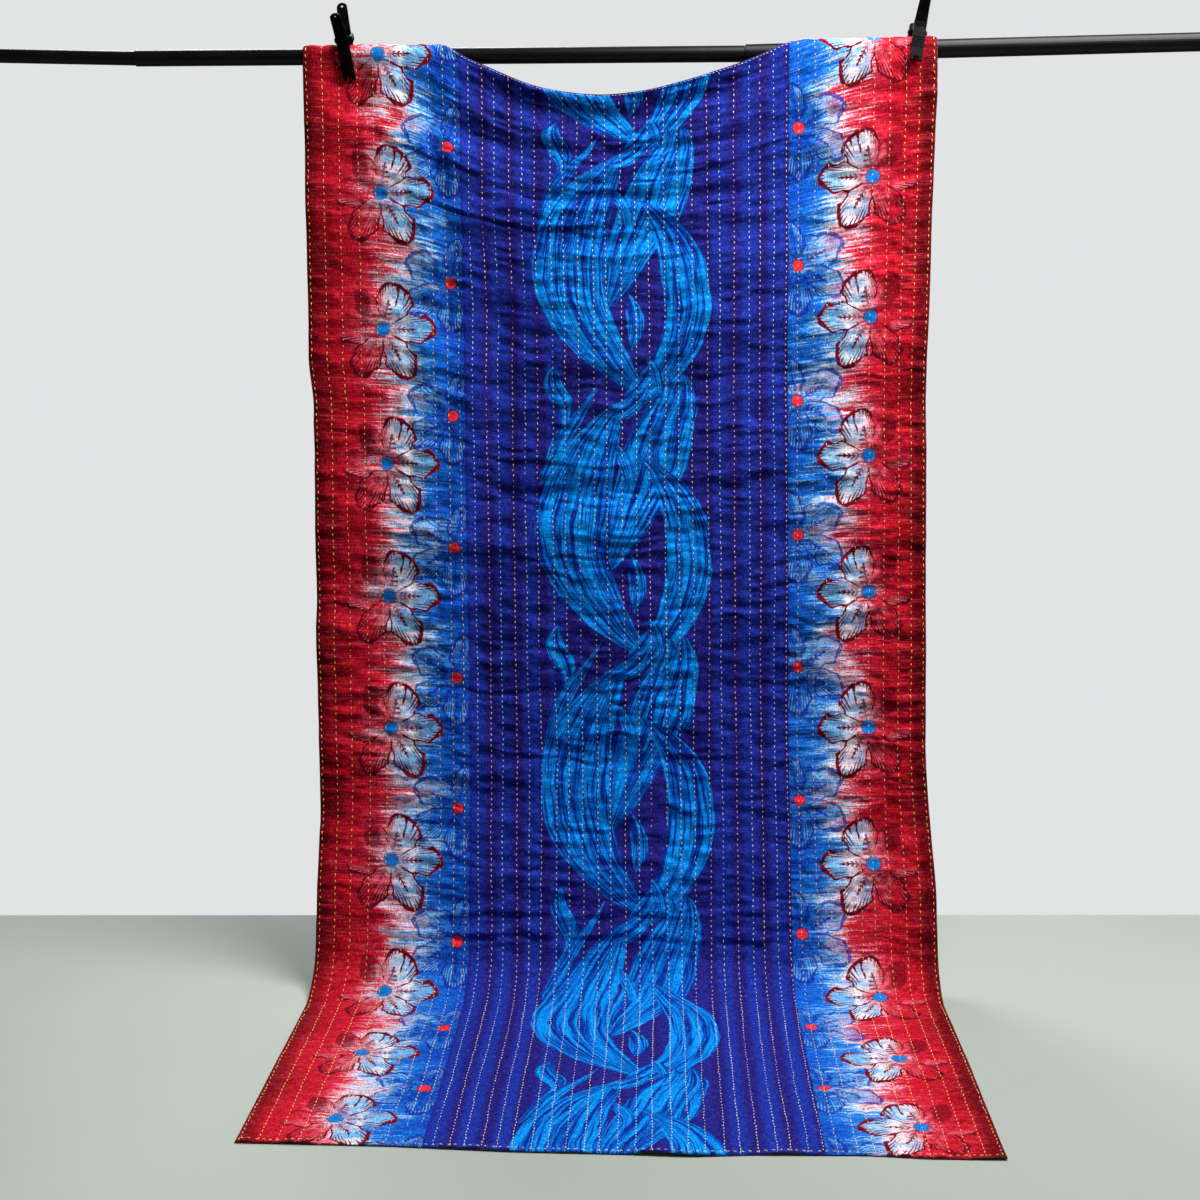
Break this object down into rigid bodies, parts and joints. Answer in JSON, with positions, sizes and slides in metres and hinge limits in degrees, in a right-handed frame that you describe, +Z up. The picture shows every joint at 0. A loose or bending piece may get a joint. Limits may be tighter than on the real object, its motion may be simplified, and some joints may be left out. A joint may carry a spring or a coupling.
{
  "type": "kantha quilt on a telescoping crossbar",
  "caption": "Stitched kantha quilt clamped over a thin crossbar, its top hem sagging between two spring clamps and its lower end running forward along the floor.",
  "frame": {"origin": "the middle of the whole part's footprint, on the floor under it", "axes": "+X right along the bar, seen from the printed face; +Y back, away from that face; +Z up"},
  "size_m": [2.3006, 0.9476, 1.7689],
  "materials": {
    "quilt": "printed cotton, matte, hand stitched",
    "bar": "black powder coat, semi-gloss",
    "clamp": "black moulded plastic, satin",
    "steel": "plain steel"
  },
  "bodies": {
    "root": {"quilt": "quilt", "bar_left": "bar", "bar_middle": "bar", "bar_right": "bar", "clamp_left_front_arm": "clamp", "clamp_left_rear_arm": "clamp", "clamp_left_pin": "steel", "clamp_left_spring": "steel", "clamp_right_front_arm": "clamp", "clamp_right_rear_arm": "clamp", "clamp_right_pin": "steel", "clamp_right_spring": "steel"}
  },
  "joints": []
}
